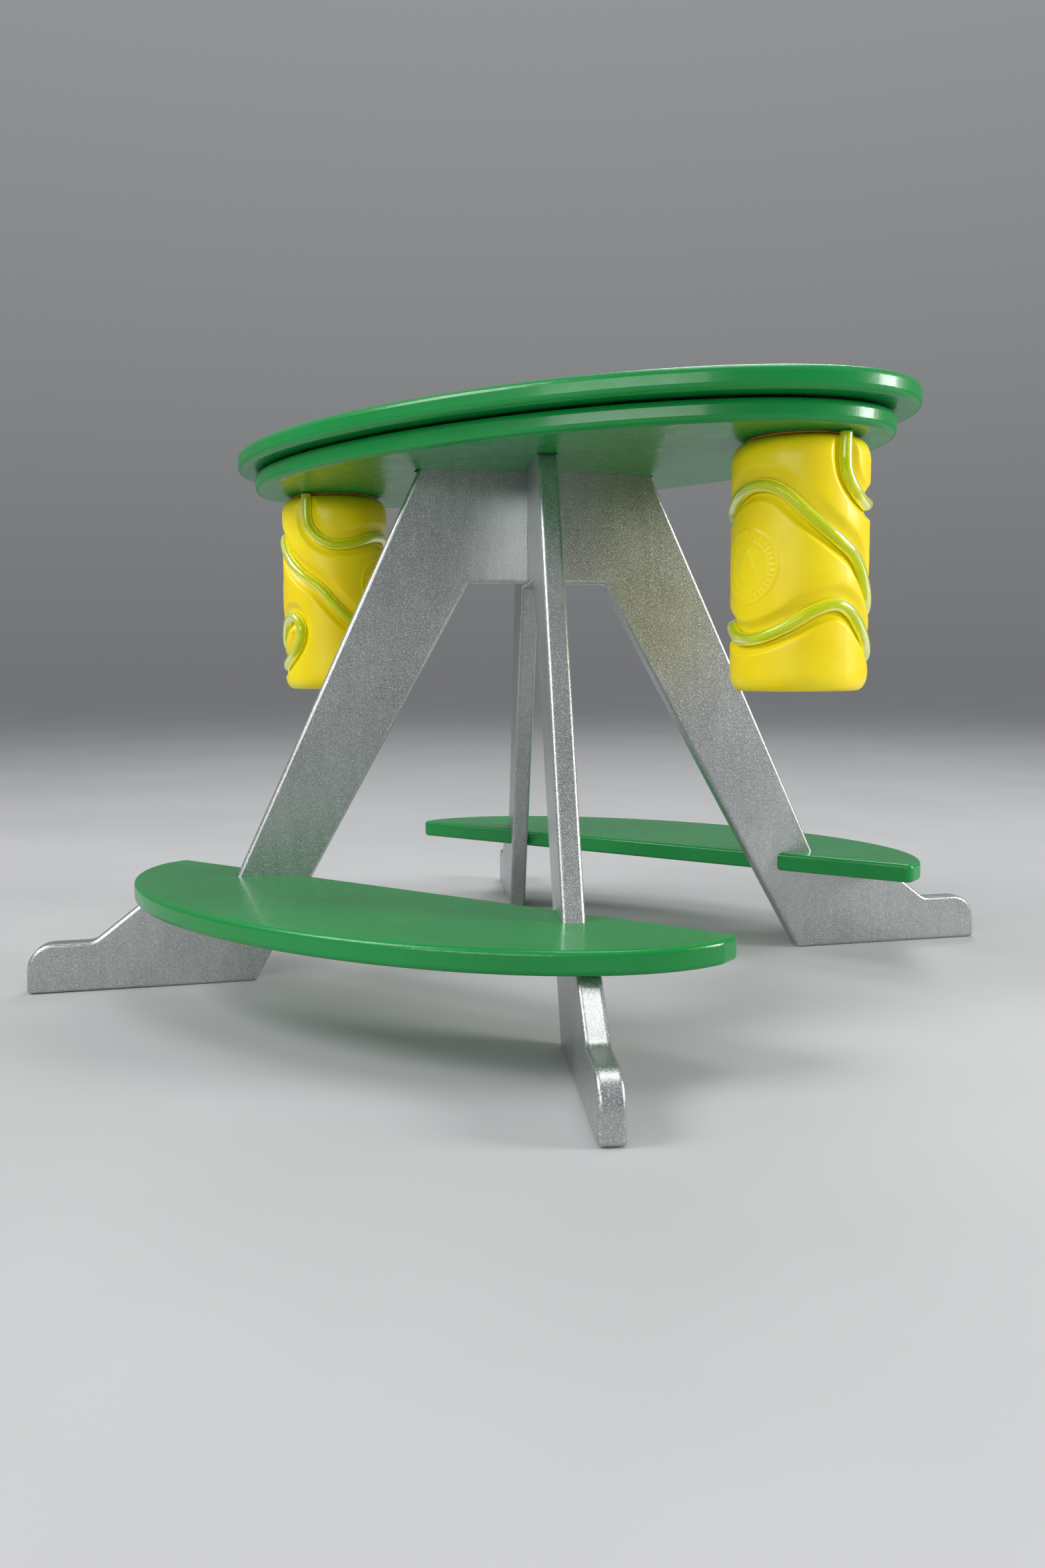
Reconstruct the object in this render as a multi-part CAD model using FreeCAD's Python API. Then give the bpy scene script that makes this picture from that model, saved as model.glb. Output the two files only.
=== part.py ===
import FreeCAD, Part
import math
import os

# Low oval stand with a turning top: two crossed board legs, two foot benches and two bottles that
# hang by their screw caps in the lower oval.  Millimetres, +Z up, origin on the floor at the centre.
# X runs along the ovals (bottles at +X and -X), Y runs across them (benches at +Y and -Y).

V = FreeCAD.Vector
UP = V(0, 0, 1)

# ---- boards and overall sizes ----
BOARD = 12.0                    # thickness of the two leg panels
OVAL_BOARD = 12.0               # thickness of each oval
BENCH_BOARD = 12.0              # thickness of each bench
LEG_ANGLE = 41.0                # each panel's angle in plan from the Y axis, degrees
UNDER_Z = 315.0                 # underside of the lower oval
LOWER_LENGTH = 458.0            # lower oval
LOWER_WIDTH = 228.0
TOP_OVERHANG_X = 13.0           # upper oval beyond the lower one
TOP_OVERHANG_Y = 10.5
TOP_GAP = 1.6                   # slit between the two ovals
OVAL_ROUND = 3.5                # rounded arris of the ovals
BENCH_ROUND = 2.6
PANEL_ROUND = 2.2

# ---- leg panel outline (radius from the centre line, height) ----
LEG_TOP_R = 75.0                # outer edge where the leg meets the lower oval
LEG_BENCH_R = 191.5             # outer edge at the bench's top
WEB_R = 44.5                    # inner corner under the web
WEB_Z = 246.0                   # underside of the web
HEEL_R = 182.0
TOE_R = 316.5
TOE_LEAN = 1.5                  # the toe's front leans back by this much
TOE_Z = 30.0                    # flat on top of the toe
TOE_CURVE = 16.0
KINK_R = 277.0                  # where the toe's flat turns up
KINK_CURVE = 10.0
SHELF_R = 246.0                 # outer end of the shelf under the bench
SHELF_CURVE = 3.0
SMALL_CURVE = 3.0
GROOVE_DEPTH = 3.0              # the panels' tops sit this deep in the lower oval
GROOVE_SPARE = 2.0              # groove longer than the panel at each end
JOINT_FIT = 0.1                 # gap at each side of a halving, slot or groove

# ---- benches ----
BENCH_TOP_Z = 66.0
BENCH_IN_Y = 121.0              # straight inner edge
BENCH_DEPTH = 117.0
BENCH_LENGTH = 410.0
BENCH_BULGE = 2.0               # the curve's half length beyond the blunt ends
BENCH_TIP_CURVE = 5.0
SLOT_SPARE = 0.4                # slot longer than the leg's outer edge
DOWEL_D = 6.0
DOWEL_IN_BENCH = 7.0
DOWEL_IN_PANEL = 16.0
DOWEL_IN_FROM_SHELF_END = 22.0

# ---- turntable bearing between the ovals ----
PLATE_SIDE = 76.0
PLATE_CORNER = 6.0
PLATE_T = 1.2
BEARING_H = 8.0
BALL_D = 4.8
BALL_COUNT = 20
BALL_CIRCLE_R = 23.0
BALL_PLAY = 0.2                 # gap between a ball and each race
CAGE_T = 1.4
CAGE_WIDTH = 7.6
CAGE_PLAY = 0.08
LIP_R = 28.0                    # inner radius of the lower plate's lip
LIP_W = 1.2
LIP_RIM = 1.8
LIP_TOP = 4.4
RIM_T = 1.0
LIP_GAP = 0.5
POCKET_SPARE = 0.8              # bearing pocket around the plate
PLATE_BORE_R = 14.0
SCREW_CIRCLE_R = 43.8           # corner screws of both plates
PLATE_SCREW_D = 3.0
PLATE_SCREW_HEAD_D = 5.6
PLATE_SCREW_HEAD_H = 1.2
PLATE_SCREW_L = 6.5
ACCESS_D = 9.0                  # hole to reach the upper plate's screws

# ---- board screws ----
BOARD_SCREW_D = 3.4
BOARD_SCREW_HEAD_D = 7.4
BOARD_SCREW_L = 34.0
BOARD_SCREW_R = 58.0            # from the centre, along each panel

# ---- bottles, caps and straws ----
BOTTLE_X = 179.0
BOTTLE_R = 37.4
BOTTLE_H = 135.0                # body, from the shoulder's top to the base
BOTTLE_WALL = 1.5
SHOULDER_R = 30.4
SHOULDER_H = 11.5
BASE_CURVE_R = 6.0
BASE_CURVE_H = 10.0
PUSH_UP_R = 26.0
PUSH_UP_H = 2.5
PUSH_UP_MID = 0.75              # the push-up's height halfway out, as a share of its height
NECK_R = 27.2
NECK_WALL = 2.0
NECK_TOP_GAP = 0.25             # under the cap's liner
NECK_FIT = 0.08                 # neck in the cap, radius
NECK_CUT_OVER = 1.0             # the bottle's inside runs on past the lip by this much
CAP_WALL = 2.0
CAP_TOP_T = 1.6
CAP_RIM = 3.0                   # the cap's flange beyond its skirt
CAP_BELOW = 0.9                 # skirt showing under the lower oval
CAP_TOP_DOWN = 0.6              # cap's top below the lower oval's top
CAP_FIT = 0.3                   # skirt in its hole, radius
CAP_SEAT_GAP = 0.1
CAP_EDGE = 0.3                  # bevel at the foot of the skirt
SHOULDER_GAP = 0.3              # between the cap's skirt and the bottle's shoulder
LINER_T = 1.0
STRAW_R = 3.5
STRAW_WALL = 0.9
STRAW_SINK = 2.0                # straw's centre line inside the bottle's land
GROOVE_FIT = 0.15
STRAW_TOP_GAP = 0.8
STRAW_STEP = 12.0
INLET_DEPTH = 7.5               # how far the straw's end goes in through the wall
INLET_BACK = 2.4                # the straw starts to turn in this far before its last point
INLET_BEND = 3.15               # depth where the turn ends
INLET_AHEAD = 1.5               # the inlet's shift along the straw
SWELL_SHARE = 0.55              # share of the inlet that the wall follows
BEND_SHARE = 0.45               # share of each run that an arc may take
LEFT_TURN = -78.0               # direction of each straw's upright run in plan, degrees
RIGHT_TURN = -25.5

# The straw's way round each bottle: degrees round it, and depth below the shoulder as a share of
# the body's height.  Both go round almost twice in the same way.  The left one then ends in a
# hairpin and the right one in a long wave, each in the wall near the base.
STRAW_LAPS = [
    (0, 0.115), (5, 0.18), (18, 0.235), (34, 0.258), (56, 0.243), (82, 0.212), (112, 0.212),
    (150, 0.255), (190, 0.295), (229, 0.275), (256, 0.218), (280, 0.19), (303, 0.215),
    (330, 0.325), (352, 0.405), (374, 0.475), (392, 0.57), (410, 0.65), (435, 0.70),
    (480, 0.715), (540, 0.71), (590, 0.735),
]
STRAW_END_LEFT = [
    (622, 0.772), (646, 0.775), (662, 0.745), (670, 0.69), (682, 0.637), (696, 0.622), (706, 0.655),
    (709, 0.71), (704, 0.768), (693, 0.82), (678, 0.857), (660, 0.878),
]
STRAW_END_RIGHT = [
    (618, 0.785), (645, 0.785), (670, 0.742), (692, 0.685), (711, 0.66), (727, 0.685), (745, 0.755),
    (764, 0.83), (785, 0.875),
]

# ---- worked out from the above ----
LOWER_TOP = UNDER_Z + OVAL_BOARD
UPPER_BOTTOM = LOWER_TOP + TOP_GAP
PANEL_TOP = UNDER_Z + GROOVE_DEPTH
SHELF_Z = BENCH_TOP_Z - BENCH_BOARD
BEARING_Z = (LOWER_TOP + UPPER_BOTTOM - BEARING_H) / 2.0
LEG_SLOPE = (LEG_TOP_R - LEG_BENCH_R) / (UNDER_Z - BENCH_TOP_Z)
PHI = math.radians(LEG_ANGLE)
DIRECTION_A = V(math.sin(PHI), math.cos(PHI), 0)
DIRECTION_B = V(math.sin(PHI), -math.cos(PHI), 0)
BOTTLE_TOP = UNDER_Z - CAP_BELOW - SHOULDER_GAP
BOTTLE_BOTTOM = BOTTLE_TOP - BOTTLE_H
CAP_SKIRT_IN = NECK_R + NECK_FIT
CAP_SKIRT_OUT = CAP_SKIRT_IN + CAP_WALL
CAP_HOLE_R = CAP_SKIRT_OUT + CAP_FIT
CAP_TOP = LOWER_TOP - CAP_TOP_DOWN
CAP_FLANGE_R = CAP_SKIRT_OUT + CAP_RIM


def write(node, shape):
    """Save one named piece."""
    shape.exportStep("parts/%s.step" % node)
    facts = (node, len(shape.Solids), shape.Volume, shape.isValid())
    print("%-22s solids %d  volume %.0f  valid %s" % facts)


def outer_radius(z):
    """Radius of a leg's outer edge at height z."""
    return LEG_BENCH_R + LEG_SLOPE * (z - BENCH_TOP_Z)


def rounded_outline(corners):
    """Closed wire through corners (point, radius), each corner an arc tangent to its two sides."""
    count = len(corners)
    cuts = []
    for i, (point, radius) in enumerate(corners):
        before = (corners[i - 1][0] - point).normalize()
        after = (corners[(i + 1) % count][0] - point).normalize()
        if radius <= 0:
            cuts.append((point, None, point))
            continue
        half = before.getAngle(after) / 2.0
        reach = radius / math.tan(half)
        middle = (before + after).normalize()
        bulge = point + middle * (radius / math.sin(half) - radius)
        cuts.append((point + before * reach, bulge, point + after * reach))
    edges = []
    for i, (start, bulge, end) in enumerate(cuts):
        if bulge is not None:
            edges.append(Part.Arc(start, bulge, end).toShape())
        following = cuts[(i + 1) % count][0]
        edges.append(Part.LineSegment(end, following).toShape())
    return Part.Wire(edges)


def horizontal_edges(shape, heights):
    """Edges of shape that lie flat at one of the heights."""
    found = []
    for edge in shape.Edges:
        box = edge.BoundBox
        if box.ZLength < 1e-4 and any(abs(box.ZMin - z) < 1e-4 for z in heights):
            found.append(edge)
    return found


def oval(length, width, bottom, thickness):
    """Oval board with rounded arrises."""
    ellipse = Part.Ellipse(V(0, 0, bottom), length / 2.0, width / 2.0)
    board = Part.Face(Part.Wire(ellipse.toShape())).extrude(V(0, 0, thickness))
    radius = min(OVAL_ROUND, 0.45 * thickness)
    return board.makeFillet(radius, horizontal_edges(board, (bottom, bottom + thickness)))


def along(direction, radius, z=0.0):
    """Point at a radius from the centre in a plan direction."""
    return direction * radius + V(0, 0, z)


def slab(direction, length, width, z0, z1):
    """Upright box centred on the axis, its length along a plan direction."""
    box = Part.makeBox(length, width, z1 - z0, V(-length / 2.0, -width / 2.0, z0))
    box.rotate(V(0, 0, 0), UP, math.degrees(math.atan2(direction.y, direction.x)))
    return box


# ---- frame ----
def panel_corners():
    """Corners of one leg panel in its own plane, with their radii, from top centre to the mirror."""
    return [
        (V(outer_radius(PANEL_TOP), PANEL_TOP, 0), 0),
        (V(outer_radius(SHELF_Z), SHELF_Z, 0), 0),
        (V(SHELF_R, SHELF_Z, 0), SHELF_CURVE),
        (V(KINK_R, TOE_Z, 0), KINK_CURVE),
        (V(TOE_R - TOE_LEAN, TOE_Z, 0), TOE_CURVE),
        (V(TOE_R, 0, 0), SMALL_CURVE),
        (V(HEEL_R, 0, 0), SMALL_CURVE / 2.0),
        (V(WEB_R, WEB_Z, 0), SMALL_CURVE),
    ]


def leg_panel(direction):
    """One leg panel: a board in the shape of two splayed legs joined by a web."""
    right = panel_corners()
    left = [(V(-point.x, point.y, 0), radius) for point, radius in reversed(right)]
    panel = Part.Face(rounded_outline(right + left)).extrude(V(0, 0, BOARD))
    arrises = [edge for edge in horizontal_edges(panel, (0.0, BOARD))
               if edge.BoundBox.YMin < UNDER_Z - 1.0]
    panel = panel.makeFillet(min(PANEL_ROUND, 0.4 * BOARD), arrises)
    panel.translate(V(0, 0, -BOARD / 2.0))
    panel.rotate(V(0, 0, 0), V(1, 0, 0), 90)
    panel.rotate(V(0, 0, 0), UP, math.degrees(math.atan2(direction.y, direction.x)))
    return panel


def leg_slot(direction):
    """Room for a leg through a bench: open at the bench's straight edge, its end as steep as the leg."""
    low = SHELF_Z - BENCH_BOARD
    high = BENCH_TOP_Z + BENCH_BOARD
    corners = [V(0, low, 0), V(outer_radius(low) + SLOT_SPARE, low, 0),
               V(outer_radius(high) + SLOT_SPARE, high, 0), V(0, high, 0), V(0, low, 0)]
    width = BOARD + 2 * JOINT_FIT
    room = Part.Face(Part.makePolygon(corners)).extrude(V(0, 0, width))
    room.translate(V(0, 0, -width / 2.0))
    room.rotate(V(0, 0, 0), V(1, 0, 0), 90)
    room.rotate(V(0, 0, 0), UP, math.degrees(math.atan2(direction.y, direction.x)))
    return room


def bench(side):
    """Bench with a straight inner edge and an elliptic outer edge, slotted for two legs."""
    half = BENCH_LENGTH / 2.0
    reach = half + BENCH_BULGE
    tip = BENCH_DEPTH * math.sqrt(1.0 - (half / reach) ** 2)
    curve = Part.Ellipse(V(0, BENCH_IN_Y, 0), reach, BENCH_DEPTH)
    start = math.acos(half / reach)
    arc = Part.ArcOfEllipse(curve, start, math.pi - start).toShape()
    corners = [V(half, BENCH_IN_Y + tip, 0), V(half, BENCH_IN_Y, 0),
               V(-half, BENCH_IN_Y, 0), V(-half, BENCH_IN_Y + tip, 0)]
    sides = [Part.LineSegment(corners[i], corners[i + 1]).toShape() for i in range(3)]
    board = Part.Face(Part.Wire([arc] + sides)).extrude(V(0, 0, BENCH_BOARD))
    upright = [edge for edge in board.Edges if edge.BoundBox.ZLength > BENCH_BOARD - 1e-4]
    radius = min(BENCH_TIP_CURVE, 0.45 * tip)
    board = board.makeFillet(radius, upright)
    flat = horizontal_edges(board, (0.0, BENCH_BOARD))
    board = board.makeFillet(min(BENCH_ROUND, 0.4 * BENCH_BOARD), flat)
    board.translate(V(0, 0, SHELF_Z))
    for direction in (DIRECTION_A, V(-DIRECTION_A.x, DIRECTION_A.y, 0)):
        board = board.cut(leg_slot(direction))
    if side < 0:
        board.rotate(V(0, 0, 0), UP, 180)
    return board


def dowels(side):
    """Two glued dowels that pin a bench to the shelves of its legs."""
    pegs = []
    for direction in (DIRECTION_A, V(-DIRECTION_A.x, DIRECTION_A.y, 0)):
        foot = along(direction * side, SHELF_R - DOWEL_IN_FROM_SHELF_END, SHELF_Z - DOWEL_IN_PANEL)
        pegs.append(Part.makeCylinder(DOWEL_D / 2.0, DOWEL_IN_PANEL + DOWEL_IN_BENCH, foot))
    return Part.makeCompound(pegs)


def countersunk_screw(diameter, head_diameter, length, head_height=None):
    """Screw with a countersunk head, its top at the origin, pointing down, with a short tip."""
    shank = diameter / 2.0
    head = head_diameter / 2.0
    cone = head - shank if head_height is None else head_height
    tip = diameter
    profile = [V(0, 0, 0), V(head, 0, 0), V(shank, 0, -cone), V(shank, 0, -(length - tip)),
               V(0, 0, -length), V(0, 0, 0)]
    return Part.Face(Part.makePolygon(profile)).revolve(V(0, 0, 0), UP, 360)


def board_screws():
    """Four screws down through the lower oval into the tops of the panels."""
    screws = []
    for direction in (DIRECTION_A, DIRECTION_B):
        for sign in (1, -1):
            screw = countersunk_screw(BOARD_SCREW_D, BOARD_SCREW_HEAD_D, BOARD_SCREW_L)
            screw.translate(along(direction, sign * BOARD_SCREW_R, LOWER_TOP))
            screws.append(screw)
    return Part.makeCompound(screws)


def bearing_pocket(z0, z1):
    """Square pocket around a bearing plate, its corners on the X and Y axes."""
    pocket = plate_blank(PLATE_SIDE + 2 * POCKET_SPARE, z1 - z0)
    pocket.translate(V(0, 0, z0))
    return pocket


def under_board():
    """Lower oval: crossed grooves below, bearing pocket above, two cap holes with a seat."""
    board = oval(LOWER_LENGTH, LOWER_WIDTH, UNDER_Z, OVAL_BOARD)
    groove = 2 * (LEG_TOP_R + GROOVE_SPARE)
    for direction in (DIRECTION_A, DIRECTION_B):
        board = board.cut(slab(direction, groove, BOARD + 2 * JOINT_FIT, UNDER_Z - 1, PANEL_TOP))
    board = board.cut(bearing_pocket(BEARING_Z, LOWER_TOP + 1))
    board = board.cut(Part.makeCylinder(ACCESS_D / 2.0, OVAL_BOARD + 2,
                                        V(0, SCREW_CIRCLE_R, UNDER_Z - 1)))
    seat = CAP_TOP - CAP_TOP_T - CAP_SEAT_GAP
    for side in (1, -1):
        centre = V(side * BOTTLE_X, 0, UNDER_Z - 1)
        board = board.cut(Part.makeCylinder(CAP_HOLE_R, OVAL_BOARD + 2, centre))
        board = board.cut(Part.makeCylinder(CAP_FLANGE_R + CAP_FIT, OVAL_BOARD,
                                            V(side * BOTTLE_X, 0, seat)))
    return board


def top_board():
    """Upper oval, which turns, with its bearing pocket below."""
    board = oval(LOWER_LENGTH + 2 * TOP_OVERHANG_X, LOWER_WIDTH + 2 * TOP_OVERHANG_Y,
                 UPPER_BOTTOM, OVAL_BOARD)
    return board.cut(bearing_pocket(UPPER_BOTTOM - 1, BEARING_Z + BEARING_H))


# ---- turntable bearing ----
def plate_blank(side, thickness):
    """Square plate with rounded corners on the X and Y axes."""
    half = side / math.sqrt(2.0)
    points = [V(half, 0, 0), V(0, half, 0), V(-half, 0, 0), V(0, -half, 0)]
    wire = rounded_outline([(point, PLATE_CORNER) for point in points])
    return Part.Face(wire).extrude(V(0, 0, thickness))


def ring(inner, outer, z0, z1):
    """Flat ring."""
    height = z1 - z0
    solid = Part.makeCylinder(outer, height, V(0, 0, z0))
    return solid.cut(Part.makeCylinder(inner, height, V(0, 0, z0)))


def corner_points(z):
    """Corner screw places of a bearing plate."""
    return [V(SCREW_CIRCLE_R, 0, z), V(0, -SCREW_CIRCLE_R, z), V(-SCREW_CIRCLE_R, 0, z),
            V(0, SCREW_CIRCLE_R, z)]


def plate_screws(points, up):
    """Screws through a plate's corners; up says that they point upwards."""
    screws = []
    for point in points:
        screw = countersunk_screw(PLATE_SCREW_D, PLATE_SCREW_HEAD_D, PLATE_SCREW_L,
                                  PLATE_SCREW_HEAD_H)
        if up:
            screw.rotate(V(0, 0, 0), V(1, 0, 0), 180)
        screw.translate(point)
        screws.append(screw)
    return Part.makeCompound(screws)


def lower_screws():
    """Three screws down into the lower oval; the fourth corner is the access hole."""
    return plate_screws(corner_points(BEARING_Z + PLATE_T)[:3], False)


def upper_screws():
    """Four screws up into the upper oval."""
    return plate_screws(corner_points(BEARING_Z + BEARING_H - PLATE_T), True)


def lower_plate():
    """Fixed bearing plate: a square plate with a raised lip that ends in an outward rim."""
    plate = plate_blank(PLATE_SIDE, PLATE_T)
    plate = plate.cut(Part.makeCylinder(PLATE_BORE_R, PLATE_T))
    lip = ring(LIP_R, LIP_R + LIP_W, PLATE_T / 2.0, LIP_TOP)
    rim = ring(LIP_R + LIP_W / 2.0, LIP_R + LIP_W + LIP_RIM, LIP_TOP - RIM_T, LIP_TOP)
    plate = plate.fuse(lip).fuse(rim).removeSplitter()
    plate.translate(V(0, 0, BEARING_Z))
    plate = plate.cut(Part.makeCylinder(ACCESS_D / 2.0, 4 * PLATE_T,
                                        V(0, SCREW_CIRCLE_R, BEARING_Z - PLATE_T)))
    return plate.cut(lower_screws())


def upper_plate():
    """Turning bearing plate: its ring reaches down round the lower rim and hooks under it."""
    plate = plate_blank(PLATE_SIDE, PLATE_T)
    plate = plate.cut(Part.makeCylinder(PLATE_BORE_R, PLATE_T))
    plate.translate(V(0, 0, BEARING_H - PLATE_T))
    rim_r = LIP_R + LIP_W + LIP_RIM
    hook_top = LIP_TOP - RIM_T - LIP_GAP
    wall = ring(rim_r + LIP_GAP, rim_r + LIP_GAP + LIP_W, hook_top - RIM_T, BEARING_H - PLATE_T / 2.0)
    hook = ring(LIP_R + LIP_W + LIP_GAP, rim_r + LIP_GAP + LIP_W / 2.0, hook_top - RIM_T, hook_top)
    plate = plate.fuse(wall).fuse(hook).removeSplitter()
    plate.translate(V(0, 0, BEARING_Z))
    return plate.cut(upper_screws())


def ball_height():
    """Height of the balls' centres."""
    return BEARING_Z + BEARING_H / 2.0


def ball_radius():
    """Radius of a ball, from the room between the two races."""
    return min(BALL_D / 2.0, (BEARING_H - 2 * PLATE_T) / 2.0 - BALL_PLAY)


def balls(radius):
    """Ring of balls of one radius."""
    ring_of_balls = []
    for i in range(BALL_COUNT):
        angle = 2 * math.pi * i / BALL_COUNT
        centre = V(BALL_CIRCLE_R * math.cos(angle), BALL_CIRCLE_R * math.sin(angle), ball_height())
        ring_of_balls.append(Part.makeSphere(radius, centre))
    return Part.makeCompound(ring_of_balls)


def cage():
    """Flat nylon ring that spaces the balls."""
    half = CAGE_WIDTH / 2.0
    middle = ball_height()
    flat = ring(BALL_CIRCLE_R - half, BALL_CIRCLE_R + half, middle - CAGE_T / 2.0, middle + CAGE_T / 2.0)
    for i in range(BALL_COUNT):
        angle = 2 * math.pi * i / BALL_COUNT
        place = V(BALL_CIRCLE_R * math.cos(angle), BALL_CIRCLE_R * math.sin(angle), middle - CAGE_T)
        flat = flat.cut(Part.makeCylinder(ball_radius() + CAGE_PLAY, 2 * CAGE_T, place))
    return flat


# ---- bottles ----
def bottle_profile(inset):
    """Closed half section of the bottle, drawn in the XZ plane, its wall moved in by inset."""
    radius = BOTTLE_R - inset
    bottom = BOTTLE_BOTTOM + inset
    neck = NECK_R - (NECK_WALL if inset else 0.0)
    neck_top = CAP_TOP - CAP_TOP_T - LINER_T - NECK_TOP_GAP + (NECK_CUT_OVER if inset else 0.0)
    top = BOTTLE_TOP - inset
    shoulder_r = SHOULDER_R - inset
    half = math.sqrt(0.5)
    shoulder_x = radius - shoulder_r
    shoulder_mid = V(shoulder_r + shoulder_x * half, 0, top - SHOULDER_H * (1 - half))
    base_mid = V(radius - BASE_CURVE_R * (1 - half), 0, bottom + BASE_CURVE_H * (1 - half))
    base_in = radius - BASE_CURVE_R
    dome = V(PUSH_UP_R / 2.0, 0, bottom + PUSH_UP_MID * PUSH_UP_H)
    points = [V(0, 0, bottom + PUSH_UP_H), V(PUSH_UP_R, 0, bottom), V(base_in, 0, bottom),
              V(radius, 0, bottom + BASE_CURVE_H), V(radius, 0, top - SHOULDER_H),
              V(shoulder_r, 0, top), V(neck, 0, top), V(neck, 0, neck_top), V(0, 0, neck_top)]
    edges = [
        Part.Arc(points[0], dome, points[1]).toShape(),
        Part.LineSegment(points[1], points[2]).toShape(),
        Part.Arc(points[2], base_mid, points[3]).toShape(),
        Part.LineSegment(points[3], points[4]).toShape(),
        Part.Arc(points[4], shoulder_mid, points[5]).toShape(),
    ]
    rest = points[5:] + points[:1]
    edges += [Part.LineSegment(rest[i], rest[i + 1]).toShape() for i in range(len(rest) - 1)]
    return Part.Wire(edges)


def bottle_solid(inset):
    """Solid of revolution of the bottle, its wall moved in by inset."""
    return Part.Face(bottle_profile(inset)).revolve(V(0, 0, 0), UP, 360)


def way_point(turn, share):
    """Point on the straw's centre line."""
    angle = math.radians(turn)
    radius = BOTTLE_R - STRAW_SINK
    z = BOTTLE_TOP - share * BOTTLE_H
    return V(radius * math.cos(angle), radius * math.sin(angle), z)


def even_way(end):
    """The straw's way, smoothed and divided into even steps."""
    curve = Part.BSplineCurve()
    curve.interpolate([way_point(turn, share) for turn, share in STRAW_LAPS + end])
    steps = int(round(curve.length() / STRAW_STEP))
    points = curve.discretize(steps + 1)
    start = way_point(0, 0)
    start.z = UNDER_Z - STRAW_TOP_GAP
    return [start] + points


def tube_path(points):
    """Wire of straight runs joined by tangent arcs, as large as the runs allow."""
    edges = []
    last = points[0]
    for i in range(1, len(points) - 1):
        here = points[i]
        before = points[i - 1] - here
        after = points[i + 1] - here
        turn = math.pi - before.getAngle(after)
        reach = BEND_SHARE * min(before.Length, after.Length)
        radius = reach / math.tan(turn / 2.0)
        before.normalize()
        after.normalize()
        middle = (before + after).normalize()
        bulge = here + middle * (radius / math.cos(turn / 2.0) - radius)
        edges.append(Part.LineSegment(last, here + before * reach).toShape())
        edges.append(Part.Arc(here + before * reach, bulge, here + after * reach).toShape())
        last = here + after * reach
    edges.append(Part.LineSegment(last, points[-1]).toShape())
    return Part.Wire(edges)


def tube(points, radius, bore=0.0):
    """Round tube or bar along a path."""
    path = tube_path(points)
    first = points[0]
    heading = points[1] - points[0]
    profile = Part.Face(Part.Wire(Part.makeCircle(radius, first, heading)))
    if bore > 0:
        profile = profile.cut(Part.Face(Part.Wire(Part.makeCircle(bore, first, heading)))).Faces[0]
    return path.makePipe(profile)


def straw_points(end):
    """Centre line of the straw: down from the lower oval, round the bottle and in through its wall."""
    points = even_way(end)
    last = points[-1]
    inward = V(-last.x, -last.y, 0).normalize()
    ahead = points[-1] - points[-2]
    ahead = (ahead - inward * ahead.dot(inward)).normalize()
    shift = ahead * INLET_AHEAD
    points[-1] = last - ahead * INLET_BACK
    return points + [last + inward * INLET_BEND + shift, last + inward * INLET_DEPTH + shift]


def place(shape, side):
    """Turn a bottle piece to its straw's direction and put it at its end of the oval."""
    copy = shape.copy()
    copy.rotate(V(0, 0, 0), UP, RIGHT_TURN if side > 0 else LEFT_TURN)
    copy.translate(V(side * BOTTLE_X, 0, 0))
    return copy


def bottle(points):
    """Hollow bottle with a channel for the straw, the wall following the channel inside."""
    above = points[0] + V(0, 0, STRAW_R)
    channel = tube([above] + points[1:], STRAW_R + GROOVE_FIT)
    around = STRAW_R + GROOVE_FIT + BOTTLE_WALL
    swell = tube([above] + points[1:-2], around)
    reach = BOTTLE_R - math.hypot(points[-2].x, points[-2].y)
    inward = (points[-1] - points[-2]).normalize()
    boss = Part.makeCylinder(around, reach + SWELL_SHARE * (INLET_DEPTH - INLET_BEND),
                             points[-2] - inward * reach, inward)
    hollow = bottle_solid(BOTTLE_WALL).cut(swell).cut(boss)
    return bottle_solid(0.0).cut(channel).cut(hollow)


def cap():
    """Screw cap: a skirt through the lower oval and a flange that rests in the seat."""
    profile = [
        V(0, 0, CAP_TOP), V(CAP_FLANGE_R, 0, CAP_TOP), V(CAP_FLANGE_R, 0, CAP_TOP - CAP_TOP_T),
        V(CAP_SKIRT_OUT, 0, CAP_TOP - CAP_TOP_T), V(CAP_SKIRT_OUT, 0, UNDER_Z - CAP_BELOW + CAP_EDGE),
        V(CAP_SKIRT_OUT - CAP_EDGE, 0, UNDER_Z - CAP_BELOW), V(CAP_SKIRT_IN, 0, UNDER_Z - CAP_BELOW),
        V(CAP_SKIRT_IN, 0, CAP_TOP - CAP_TOP_T), V(0, 0, CAP_TOP - CAP_TOP_T), V(0, 0, CAP_TOP),
    ]
    return Part.Face(Part.makePolygon(profile)).revolve(V(0, 0, 0), UP, 360)


def cap_liner():
    """Soft sealing disc inside the cap."""
    return Part.makeCylinder(CAP_SKIRT_IN, LINER_T, V(0, 0, CAP_TOP - CAP_TOP_T - LINER_T))


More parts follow.
